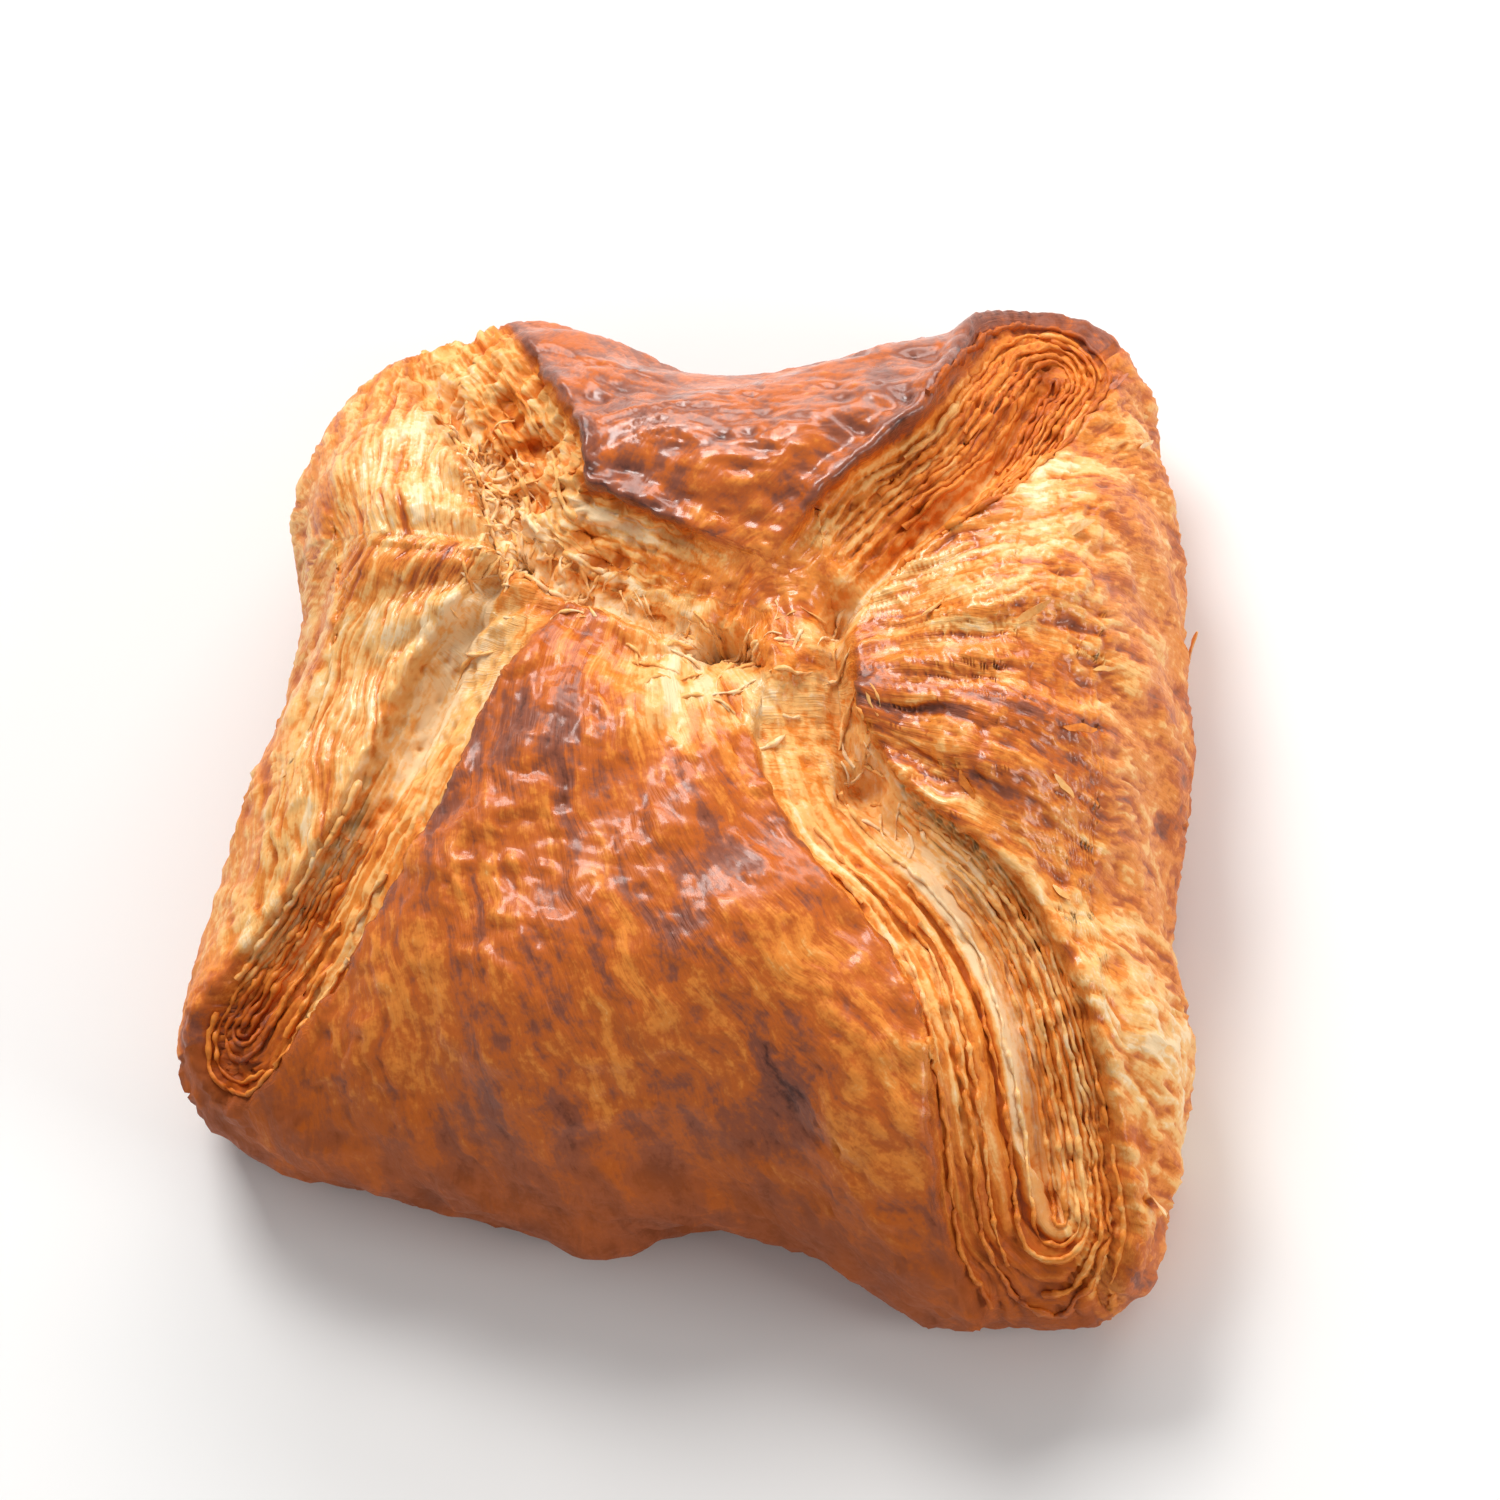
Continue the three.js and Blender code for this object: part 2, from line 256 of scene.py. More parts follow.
cells = np.linspace(0.0, 1.0, SEAM_CELLS + 1)
seam_steps = cells * (SEAM_STEP + SEAM_CROWDING * cells)
narrow_steps = np.concatenate([seam_steps / 2.0, (1.0 - seam_steps[:-1] / 2.0)[::-1]])
cells = np.linspace(0.0, 1.0, WIDE_CELLS + 1)
wide_steps = cells - WIDE_CROWDING * np.sin(2.0 * math.pi * cells)


def side_outline(start, stop, inset, fractions):
    """The outline between two corners, drawn inset: half a lobe, the swelling side, half the next lobe."""
    run = stop["hub"] - start["hub"]
    out = np.array([run[1], -run[0]]) / np.hypot(*run)

    def lobe(corner, direction):
        direction = direction / np.linalg.norm(direction, axis=-1, keepdims=True)
        return corner["hub"] + direction * (corner["lobe"] - inset)

    turn = np.linspace(0.0, 1.0, 21)[:-1, None]
    t = np.linspace(0.0, 1.0, 91)
    swell = spline([(i, rise) for i, rise in enumerate((0, *start["side"], 0))])[:, 1]
    swell = np.interp(t, np.linspace(0.0, 1.0, len(swell)), swell)
    first, last = lobe(start, out), lobe(stop, out)
    side = first + (last - first) * t[:, None] + out * swell[:, None]
    points = np.vstack([
        lobe(start, start["away"] * (1 - turn) + out * turn),
        side,
        lobe(stop, stop["away"] * (1 - turn) + out * turn)[::-1],
    ])
    for _ in range(40):
        points[10:-10] = (points[9:-11] + points[11:-9]) / 2.0
    return along(points, fractions)


def outlines_at(inset, fine=False):
    sides = []
    for i, corner in enumerate(CORNERS):
        fractions = np.linspace(0, 1, 201) if fine else (narrow_steps if i % 2 == 0 else wide_steps)
        sides.append(side_outline(corner, CORNERS[(i + 1) % 4], inset, fractions))
    for i in range(4):
        sides[i][-1] = sides[(i + 1) % 4][0]
    return sides


def crown_height(p, inset):
    valley = np.zeros(len(p))
    for corner in CORNERS:
        valley = np.maximum(valley, bell(near(p, corner["line"])[0], VALLEY_WIDTH))
    middle = near(p, np.array([CORNERS[2]["crease"][0], CORNERS[0]["crease"][0]], float))[0]
    droop = 1.0 - CORNER_DROOP * smooth(20.0, CORNER_REACH, np.hypot(p[:, 0], p[:, 1]))
    crown = HEIGHT * droop - np.maximum(VALLEY_DEPTH * valley, MIDDLE_DIP * bell(middle, MIDDLE_DIP_RADIUS))
    part = 1.0 - np.clip(inset / SHOULDER, 0.0, 1.0)
    rounding = (1.0 - part**SHOULDER_POWER) ** (1.0 / SHOULDER_POWER)
    return GIRTH_HEIGHT + (crown - GIRTH_HEIGHT) * rounding


# The grid of the skin: a Coons patch for each flap, the rows down the sides, and rings on the underside.
EVEN_TURNS = 500
STRAIGHT_TURNS = 1100
edge = np.vstack(outlines_at(0.0, fine=True))
rims = outlines_at(TOP_INSET)
blocks = []


def add_block(points, flap):
    blocks.append((points, np.full(points.shape[:2], flap)))


def settle(plan, us, vs):
    """Lets a patch's inner points settle evenly between its borders, then straightens any folded cells."""
    du, dv = 1.0 / np.diff(us), 1.0 / np.diff(vs)
    below, above = du[:-1, None, None], du[1:, None, None]
    before, after = dv[None, :-1, None], dv[None, 1:, None]
    across, down = 2.0 / (1.0 / below + 1.0 / above), 2.0 / (1.0 / before + 1.0 / after)
    for turn in range(EVEN_TURNS + STRAIGHT_TURNS):
        inner_u = (below * plan[:-2, 1:-1] + above * plan[2:, 1:-1]) * across
        inner_v = (before * plan[1:-1, :-2] + after * plan[1:-1, 2:]) * down
        if turn < EVEN_TURNS:
            pull_u, pull_v, twist = 1.0, 1.0, 0.0
        else:
            along_u = (plan[2:, 1:-1] - plan[:-2, 1:-1]) * across / 2.0
            along_v = (plan[1:-1, 2:] - plan[1:-1, :-2]) * down / 2.0
            pull_u = (along_v * along_v).sum(axis=2, keepdims=True)
            pull_v = (along_u * along_u).sum(axis=2, keepdims=True)
            mixed = plan[2:, 2:] - plan[2:, :-2] - plan[:-2, 2:] + plan[:-2, :-2]
            shear = (along_u * along_v).sum(axis=2, keepdims=True)
            twist = shear * mixed * across * down / 2.0
        total = pull_u * (below + above) * across + pull_v * (before + after) * down
        plan[1:-1, 1:-1] = (pull_u * inner_u + pull_v * inner_v - twist) / total
    return plan


for side, rim in enumerate(rims):
    start, stop = CORNERS[side], CORNERS[(side + 1) % 4]
    low = along(start["path"], seam_steps)
    other = along(stop["path"], seam_steps)
    low[-1], other[-1] = rim[0], rim[-1]
    if side % 2:
        high, far = other, rim
        inner = low[0] + (other[0] - low[0]) * wide_steps[:, None]
        us, vs = seam_steps, wide_steps
    else:
        high, far = rim[SEAM_CELLS:][::-1], rim[: SEAM_CELLS + 1]
        inner = other
        us, vs = seam_steps, seam_steps
    u, v = us[:, None, None], vs[None, :, None]
    plan = low[:, None] * (1 - v) + high[:, None] * v + inner[None] * (1 - u) + far[None] * u
    plan -= low[0] * (1 - u) * (1 - v) + low[-1] * u * (1 - v) + high[0] * (1 - u) * v + high[-1] * u * v
    plan[:, 0], plan[:, -1], plan[0, :], plan[-1, :] = low, high, inner, far
    if side % 2 == 0:
        plan[:, -1] = high
    plan = settle(plan, us, vs)
    flat = plan.reshape(-1, 2)
    inset = np.full(len(flat), np.inf)
    for e in edge:
        inset = np.minimum(inset, (flat[:, 0] - e[0]) ** 2 + (flat[:, 1] - e[1]) ** 2)
    inset = np.maximum(np.sqrt(inset), TOP_INSET).reshape(plan.shape[:2])
    inset[-1, :] = TOP_INSET
    if side % 2 == 0:
        inset[:, -1] = TOP_INSET
    z = crown_height(flat, inset.reshape(-1)).reshape(plan.shape[:2])
    add_block(np.dstack([plan, z]), side)

rows = [[] for _ in range(4)]
for k in range(ROWS_ABOVE_GIRTH + 1):
    inset = TOP_INSET * (1.0 - math.sin(math.pi / 2.0 * k / ROWS_ABOVE_GIRTH))
    for side, line in enumerate(outlines_at(inset) if k else rims):
        z = crown_height(line, np.full(len(line), inset))
        rows[side].append(np.column_stack([line, z]))
for k in range(1, ROWS_BELOW_GIRTH + 1):
    turn = math.pi / 2.0 * k / ROWS_BELOW_GIRTH
    z = GIRTH_HEIGHT * (1.0 - math.sin(turn)) if k < ROWS_BELOW_GIRTH else 0.0
    for side, line in enumerate(outlines_at(FOOT_TUCK * (1.0 - math.cos(turn)))):
        rows[side].append(np.column_stack([line, np.full(len(line), z)]))
for k in range(1, UNDERSIDE_RINGS + 1):
    for side in range(4):
        foot = rows[side][ROWS_ABOVE_GIRTH + ROWS_BELOW_GIRTH]
        rows[side].append(foot * np.array([1.0, 1.0, 0.0]) * (1.0 - k / (UNDERSIDE_RINGS + 0.35)))
for side in range(4):
    add_block(np.array(rows[side]), side)

points, flaps, quads = [], [], []
count = 0
for block, flap in blocks:
    m, n = block.shape[:2]
    index = count + np.arange(m * n).reshape(m, n)
    points.append(block.reshape(-1, 3))
    flaps.append(flap.reshape(-1))
    corners4 = np.stack([index[:-1, :-1], index[1:, :-1], index[1:, 1:], index[:-1, 1:]], axis=-1)
    quads.append(corners4.reshape(-1, 4))
    count += m * n
raw = np.vstack(points)
raw_quads = np.vstack(quads)
keys, first, where = np.unique(np.round(raw, 4), axis=0, return_index=True, return_inverse=True)
where = where.reshape(-1)
skin = raw[first]
flap_of = np.concatenate(flaps)[first]
skin_quads = where[raw_quads]
# The last ring of the underside is closed by one many-sided face.
last_ring = []
for block, flap in blocks[4:]:
    last_ring.append(block[-1, :-1])
last_ring = np.vstack(last_ring)
lookup = {tuple(key): i for i, key in enumerate(keys)}
underside_loop = [lookup[tuple(key)] for key in np.round(last_ring, 4)]


def vertex_normals(p, quads):
    a = p[quads[:, 2]] - p[quads[:, 0]]
    b = p[quads[:, 3]] - p[quads[:, 1]]
    n = np.cross(a, b)
    total = np.zeros_like(p)
    for k in range(4):
        np.add.at(total, quads[:, k], n)
    return total / np.maximum(np.linalg.norm(total, axis=1, keepdims=True), 1e-9)


def noise(p, seed):
    """A smooth random field from about -1 to 1, with features about one unit across."""
    rng = np.random.default_rng(seed)
    table = rng.permutation(256)
    slopes = rng.normal(size=(256, 3))
    slopes /= np.linalg.norm(slopes, axis=1, keepdims=True)
    cell = np.floor(p).astype(int)
    f = p - cell
    ease = f * f * f * (f * (f * 6.0 - 15.0) + 10.0)
    total = np.zeros(len(p))
    for cx, cy, cz in np.ndindex(2, 2, 2):
        h = table[(cell[:, 0] + cx) & 255]
        h = table[(h + cell[:, 1] + cy) & 255]
        h = table[(h + cell[:, 2] + cz) & 255]
        weight = ease[:, 0] if cx else 1.0 - ease[:, 0]
        weight = weight * (ease[:, 1] if cy else 1.0 - ease[:, 1])
        weight = weight * (ease[:, 2] if cz else 1.0 - ease[:, 2])
        total += weight * np.einsum("ij,ij->i", slopes[h], f - (cx, cy, cz))
    return total * 1.7


plan = skin[:, :2].copy()
z = skin[:, 2].copy()
on_top = smooth(4.0, 14.0, z)
off_table = smooth(0.3, 2.5, z)
normals = vertex_normals(skin, skin_quads)

# The seams: creases, sunk bands of cut edge, and the lips of skin beside them. The layers of the cut edge
# are numbered by their share of the band's width, so they crowd together where the band narrows.
GAP_DEPTH = 0.95
GAP_WIDTH = 0.15
RIM_FROM_GAP = 0.24
RIM_WIDTH = 0.09
STRIP_BAKED = 0.06
ARCH = [(-8.5, 3.6), (-5.5, 5.6), (-2.0, 5.4), (0.8, 3.6)]
ARCH_DEPTH = 1.7
ARCH_LIP = 0.5
DOUGH_SWELL = 0.55
# Single lumps and hollows: plan position, height above the table, radius, and how far they stand out.
SPOTS = [
    (11.0, 3.4, 30, 2.7, 2.6),
    (8.6, 6.8, 30, 2.0, 1.5),
    (4.4, 11.2, 30, 1.9, -2.8),
    (11.0, -4.4, 30, 1.6, -2.6),
    (-3.5, 5.2, 30, 2.6, -1.8),
    (-28.2, 22.2, 28, 2.6, -2.6),
    (-6.3, -42.6, 5, 4.6, 1.6),
]
# Fans of folds: where they start and point, half their spread, how many, how tall and how far they reach.
FANS = [
    dict(tip=(2, 4), toward=-4, spread=46, count=24, rise=0.28, reach=38),
    dict(tip=(-3, 18), toward=-94, spread=32, count=18, rise=0.55, reach=50),
    dict(tip=(-16, 9), toward=178, spread=52, count=22, rise=0.6, reach=28),
    dict(tip=(-6, -3), toward=92, spread=30, count=18, rise=0.4, reach=34),
]
FAN_START = 14.0

rise, band, band_baked, crumb, crease_close, layer_gap, lip_close = np.zeros((7, len(skin)))
leaf_share = np.full(len(skin), np.inf)
leaf_lines = np.zeros((len(skin), 3))
wander = noise(skin / 6.5, 11)
fine_wander = noise(skin / 1.7, 12)
for number, corner in enumerate(CORNERS):
    distance, left, place = near(plan, corner["line"])
    on_left = smooth(-1.0, 1.0, left)
    left_width, right_width = [inner + (outer - inner) * place for inner, outer in corner["bands"]]
    width = right_width + (left_width - right_width) * on_left
    lip = corner["lips"][1] + (corner["lips"][0] - corner["lips"][1]) * on_left
    lip = lip * (1.0 - corner.get("open_tip", 0.0) * smooth(0.6, 1.0, place))
    grown = smooth(-0.05, 0.3, place)
    ragged_width = width * (1.0 + 0.05 * wander) + 0.3 * fine_wander
    in_band = grown * on_top * (1.0 - smooth(ragged_width - 0.5, ragged_width + 0.5, distance))
    share = distance / width + 0.035 * wander + 0.022 * fine_wander
    phase = (share + 0.045 * np.sin(8.0 * share + 2.0 * number)) * corner["layers"]
    ribbon = np.floor(phase + 0.5)
    from_gap = np.abs(phase % 1.0 - 0.5)
    open_here = 0.7 + 0.7 * noise(np.column_stack([ribbon * 7.3, place * 12.0, place * 0 + number]), 13)
    parted = smooth(*corner["parting"], place) * 0.85 + 0.15
    gap = bell(from_gap, GAP_WIDTH + 0.06 * wander) * np.clip(open_here, 0.05, 1.0)
    gap *= smooth(0.4, 1.2, distance)
    gap *= (1.0 - 0.7 * corner["crumb"]) * parted
    rim_line = bell(from_gap - RIM_FROM_GAP, RIM_WIDTH) * parted
    if "strip" in corner:
        outer = smooth(0.3, 0.5, place) * (1.0 - on_left)
        inside = outer * (1.0 - smooth(corner["strip"] - 0.25, corner["strip"] + 0.25, distance))
        edge_of_strip = outer * bell(distance - corner["strip"] - 0.5, 0.4)
        gap = np.maximum(gap * (1.0 - inside), edge_of_strip)
        rim_line = np.maximum(rim_line * (1.0 - inside), outer * bell(distance - corner["strip"], 0.35))
        strip = inside * smooth(0.6, 1.4, distance)
    rise -= in_band * BAND_SINK * (1.0 - corner.get("open_tip", 0.0) * smooth(0.7, 1.05, place))
    rise -= in_band * GAP_DEPTH * gap
    rise += grown * on_top * lip * bell(distance - ragged_width - 0.5, LIP_WIDTH)
    rise -= on_top * CREASE_DEPTH * bell(distance, CREASE_WIDTH)
    baked = corner["baked"][0] + (corner["baked"][1] - corner["baked"][0]) * place
    tint = noise(np.column_stack([ribbon * 3.7, place * 3.0, place * 0 + number + 20]), 14)
    baked = baked + 0.24 * tint + 0.20 * rim_line
    if "strip" in corner:
        baked = baked * (1.0 - strip) + STRIP_BAKED * strip
    band_baked = np.where(in_band > band, baked, band_baked)
    crumb = np.maximum(crumb, in_band * corner["crumb"])
    layer_gap = np.maximum(layer_gap, in_band * gap)
    crease_close = np.maximum(crease_close, on_top * bell(distance, 2.2) * (1.0 - 0.7 * place))
    lip_close = np.maximum(lip_close, grown * on_top * bell(distance - ragged_width, 0.8))
    nearest = distance / width < leaf_share
    leaf_share = np.where(nearest, distance / width, leaf_share)
    lines_here = np.column_stack([distance * 2.0 + 2.0 * wander, place * 9.0, place * 0 + 17 * number])
    leaf_lines[nearest] = lines_here[nearest]
    band = np.maximum(band, in_band)

# The folds that fan out from the pulled tips, the arch-shaped slit at the middle, the single lumps and
# hollows, and the unevenness of dough.
for fan in FANS:
    dx, dy = plan[:, 0] - fan["tip"][0], plan[:, 1] - fan["tip"][1]
    away = np.hypot(dx, dy)
    turn = np.arctan2(dy, dx) - math.radians(fan["toward"])
    off = np.abs(np.arctan2(np.sin(turn), np.cos(turn))) / math.radians(fan["spread"])
    fade = smooth(3.0, FAN_START, away) * (1.0 - smooth(FAN_START, fan["reach"], away))
    waves = np.sin(fan["count"] * turn + np.sin(2.3 * turn) + np.sin(0.17 * away))
    rise += fan["rise"] * on_top * (1.0 - smooth(0.55, 1.0, off)) * fade * waves
arch_distance, arch_left, arch_place = near(plan, spline(ARCH)[::12])
arch_fade = smooth(0.0, 0.2, arch_place) * (1.0 - smooth(0.8, 1.0, arch_place))
arch_slit = ARCH_DEPTH * arch_fade * bell(arch_distance, 0.65)
rise += ARCH_LIP * bell(arch_distance - 1.1, 0.9) * (arch_left > 0) - arch_slit
for sx, sy, sz, radius, height in SPOTS:
    distance = np.sqrt((plan[:, 0] - sx) ** 2 + (plan[:, 1] - sy) ** 2 + 0.36 * (z - sz) ** 2)
    rise += height * bell(distance, radius)
broad = np.sin(0.19 * plan[:, 0] + 0.8) * np.sin(0.23 * plan[:, 1] - 0.4)
swell = broad + 0.6 * np.sin(0.41 * plan[:, 0] - 0.31 * plan[:, 1] + 0.5 * z)
rise += DOUGH_SWELL * smooth(1.0, 8.0, z) * swell

skin = skin + normals * (rise * (z > 1e-3))[:, None]
skin[:, 2] = np.maximum(skin[:, 2], 0.0)
normals = vertex_normals(skin, skin_quads)

# Wrinkles. Each flap's skin was drawn towards its tip, so it creased along the pull: the noise is stretched
# outwards from the tip. The back flap lay slack, and its few shallow wrinkles run across.
PULLS = [
    dict(tip=(4, 4), across=1.0, length=7.0, depth=0.46),
    dict(tip=(-6, 4), across=3.4, length=2.0, depth=0.22),
    dict(tip=(-20, 10), across=1.15, length=8.0, depth=0.36),
    dict(tip=(-3, 12), across=1.3, length=8.0, depth=0.26),
]
CRINKLE_BY_FLAP = [1.0, 0.5, 1.0, 1.5]
TRAY_PRINT = 0.12


def ridged(field):
    """Sharp crests between rounded hollows, from about -1 to 1."""
    return 1.0 - 2.6 * np.sqrt(field * field + 0.012)


wrinkle = np.zeros(len(skin))
streak = np.zeros(len(skin))
pull_lines = np.zeros((len(skin), 3))
open_skin = off_table * (1.0 - band)
for number, pull in enumerate(PULLS):
    mine = flap_of == number
    dx, dy = plan[mine, 0] - pull["tip"][0], plan[mine, 1] - pull["tip"][1]
    away = np.hypot(dx, dy)
    outward = away - 0.9 * z[mine]
    across = np.arctan2(dy, dx) * np.maximum(away, 8.0) ** 0.5 * 5.2 / pull["across"]
    wavy = noise(skin[mine] / 4.5, 20 + number)
    layer = np.zeros_like(across)
    coarse = noise(np.column_stack([across + 1.1 * wavy, outward / pull["length"], layer]), 30)
    outward_fine = outward / pull["length"] * 2.4
    fine = noise(np.column_stack([across * 2.2 + 1.6 * wavy, outward_fine, layer + 5]), 31)
    broad_streak = noise(np.column_stack([across * 0.45 + 0.6 * wavy, outward / 17.0, layer + 9]), 32)
    strength = smooth(2.0, 9.0, away) * (0.65 + 0.6 * np.clip(noise(skin[mine] / 9.0, 33) + 0.3, 0.0, 1.0))
    wrinkle[mine] = strength * (0.62 * ridged(coarse) + 0.38 * ridged(fine))
    streak[mine] = broad_streak + 0.5 * coarse
    pull_lines[mine] = np.column_stack([across * 2.2 + 1.2 * wavy, outward / 3.0, layer + 11 * number])
depth = np.array([pull["depth"] for pull in PULLS])[flap_of]
crinkle = 0.09 * ridged(noise(skin / 2.3, 40)) + 0.05 * ridged(noise(skin / 0.95, 41))
patch = noise(skin / (5.5, 4.0, 5.0) + 0.25 * noise(skin / 1.3, 42)[:, None], 43)
flaky = smooth(-0.1, 0.5, noise(skin / 15.0, 44))
plateau = 0.30 * flaky * smooth(0.12, 0.18, patch) + 0.18 * smooth(0.3, 0.35, noise(skin / 3.1, 45))
torn = crumb * (0.6 * ridged(noise(skin / 2.6, 46)) + 0.4 * ridged(noise(skin / 1.2, 47)))
crinkled = np.array(CRINKLE_BY_FLAP)[flap_of]

# Blisters low on the sides, pits in the glazed back flap, and pores in the bands of open crumb.
BLISTERS = 90
PITS = 34
PORES = 420
PIT_DEPTH = 0.45
PORE_DEPTH = 1.0
rng = np.random.default_rng(5)
bubbles = np.zeros(len(skin))
side_points = np.flatnonzero((z > 2.0) & (z < 13.0))
for i in rng.choice(side_points, BLISTERS, replace=False):
    radius = rng.uniform(0.8, 2.2)
    distance = np.linalg.norm(skin - skin[i], axis=1)
    dome = bell(distance, radius) - 0.3 * bell(distance - 1.3 * radius, 0.35 * radius)
    bubbles += rng.uniform(0.2, 0.42) * radius * 0.5 * dome
pits = np.zeros(len(skin))
back_points = np.flatnonzero((flap_of == 1) & (z > 24.0) & (band < 0.05))
for i in rng.choice(back_points, PITS, replace=False):
    radius = rng.uniform(0.5, 1.1)
    d = (skin - skin[i]) / (1.5, 0.8, 1.0)
    pits = np.maximum(pits, bell(np.linalg.norm(d, axis=1), radius))
pores = np.zeros(len(skin))
band_points = np.flatnonzero(band > 0.6)
for i in rng.choice(band_points, PORES, replace=False):
    radius = rng.uniform(0.35, 0.6) + 0.5 * crumb[i] * rng.uniform(0.3, 1.0)
    distance = np.linalg.norm(skin - skin[i], axis=1)
    pores = np.maximum(pores, bell(distance, radius) * rng.uniform(0.5, 1.0) * (0.5 + 0.5 * crumb[i]))

fine_rise = open_skin * (depth * wrinkle + crinkled * (crinkle + plateau)) + band * 0.55 * crinkle
fine_rise += torn + off_table * bubbles - PIT_DEPTH * pits - PORE_DEPTH * pores
skin = skin + normals * (fine_rise * off_table)[:, None]
skin[:, 2] = np.where(z > 1e-3, np.maximum(skin[:, 2], 0.05), 0.0)

# Fine unevenness of the underside, which took the print of the tray.
under = z <= 1e-3
skin[under, 2] += TRAY_PRINT * np.clip(noise(skin[under] / (2.2, 2.2, 1.0), 48), 0.0, 1.0)
skin[:, 2] -= skin[:, 2].min()

# How far each part of the skin has browned, from 0, raw dough, to 1, dark: an even bake for each flap, how
# strongly its wrinkles and streaks differ in tone, and places that stood prouder or lay sheltered, as plan
# position, radius and amount. The same scale also carries painted light: painted shade in the pits, pores
# and layer gaps and on the low front, and painted sheen in two paler spots on the lower back flap.
BROWN_BY_FLAP = [0.54, 0.76, 0.46, 0.62]
CONTRAST_BY_FLAP = [0.34, 0.12, 0.26, 0.13]
STREAKS_BY_FLAP = [0.24, 0.10, 0.18, 0.19]
BLEND_TURNS = 60
UNDERSIDE_BROWN = 0.66
BROWN_SPOTS = [
    (-4.8, -3.2, 4.6, -0.24),
    (-17.5, 0.5, 4.5, -0.15),
    (38, -16, 12, -0.17),
    (2.5, -16, 4, 0.26),
    (1, -23, 3, 0.18),
    (-28.5, -23.5, 4, 0.20),
    (-22, -31, 5, -0.12),
    (-40.5, -35.5, 4, 0.50),
    (-37.5, -27, 4, -0.14),
    # Partly painted sheen, partly a paler bake: lighter where the glazed back flap catches the light.
    (-5, 16.5, 7, -0.22),
    (-38, 1.5, 4.5, -0.12),
    (28, 7, 8, 0.10),
    (-24, -12, 4, 0.14),
    (-18, -6, 5, 0.12),
    (12, -34, 3.6, 0.30),
    (10, -24, 5, -0.10),
    (20, -34, 5, -0.10),
    (-28, -36, 6, -0.10),
    (-12, -44, 14, 0.10),
    (11.4, 3.2, 3, 0.36),
    (9.5, 8.5, 2.2, 0.12),
    (-8, 1, 5.5, -0.34),
    (1, 1, 3.6, -0.22),
    (4, -4, 2.6, -0.08),
    # Partly painted sheen, partly a paler bake: lighter where the glazed back flap catches the light.
    (4, 14, 4, -0.12),
    (20, 27, 4.5, -0.24),
    (15, 13, 5, -0.18),
    (30, 12, 7, -0.06),
    (26, 3, 6, 0.14),
    (20, -8, 4.5, -0.14),
    (35, -8, 5, 0.10),
    (40, -24, 7, -0.12),
    (-38, 20, 7, -0.20),
    (-33, 13, 4, -0.12),
    (-37, 6.5, 3.4, 0.14),
    (-31, 8.5, 2.6, 0.20),
    (-28, 2, 4, -0.24),
    (-38, -8, 6, -0.12),
    (-36, -20, 5, -0.10),
]


def blended(values, turns):
    """Lets neighbouring points of the skin run into one another."""
    ring = [(skin_quads[:, k], skin_quads[:, (k + 1) % 4]) for k in range(4)]
    shares = sum(np.bincount(a, minlength=len(values)) for a, _ in ring)
    shares = np.maximum(shares, 1)
    for _ in range(turns):
        values = sum(np.bincount(a, values[b], minlength=len(values)) for a, b in ring) / shares
    return values


brown = blended(np.array(BROWN_BY_FLAP)[flap_of], BLEND_TURNS)
blotch = noise(np.column_stack([pull_lines[:, 0] / 3.0, pull_lines[:, 1] * 1.3, skin[:, 2] / 2.5]), 54)
brown = brown + 0.08 * noise(skin / 13.0, 50) + 0.05 * noise(skin / 3.0, 51) + 0.07 * blotch
brown += np.array(STREAKS_BY_FLAP)[flap_of] * streak
brown += 0.06 * smooth(30.0, 36.0, z)
contrast = np.array(CONTRAST_BY_FLAP)[flap_of]
# The pits in the back flap are painted darker here: painted shade.
brown -= contrast * wrinkle + 0.8 * (crinkle + 0.05) + 0.12 * plateau - 0.16 * pits
# The gaps between the layers of the cut edge are painted darker: painted shade.
band_brown = band_baked + 0.10 * wander + 0.30 * layer_gap - 0.14 * torn - 0.4 * crinkle
brown = brown * (1.0 - band) + band * band_brown
spot_edge = 1.0 + 0.45 * noise(skin / 3.2, 53)
for sx, sy, radius, amount in BROWN_SPOTS:
    ragged = radius * spot_edge
    brown += amount * bell(np.hypot(plan[:, 0] - sx, plan[:, 1] - sy), ragged) * (1.0 - 0.5 * band)
# The pores of open crumb are painted darker: painted shade.
brown += 0.2 * pores + 0.22 * lip_close * np.where(flap_of == 1, 1.0, 0.3)
brown -= 0.30 * crease_close * (1.0 - 0.5 * band)
# The low side of the front flap is painted darker and deep amber: painted shade.
low_front_shade = (flap_of == 3) * smooth(30.0, 16.0, z)
side_brown = brown + 0.10 * smooth(20.0, 6.0, z) + 0.20 * low_front_shade
brown = np.where(under, UNDERSIDE_BROWN + 0.12 * noise(skin / 9.0, 52), side_brown)

# How deep each point lies in the folds, where egg wash and butter gathered and baked to amber, and how
# glossy it is: most on the crown of the back flap, least on the low front. The amber also stands as
# painted shade in the layer gaps and pores and over the whole low front.
WASH_BY_FLAP = [0.75, 1.0, 0.75, 0.5]
# The gaps and pores are also painted amber: painted shade.
painted_gap_shade = (0.6 * pores + 0.5 * layer_gap) * (1.0 - 0.5 * crumb)
hollow = np.clip(-(depth * wrinkle + crinkle) * 1.9 + painted_gap_shade, 0.0, 1.0)
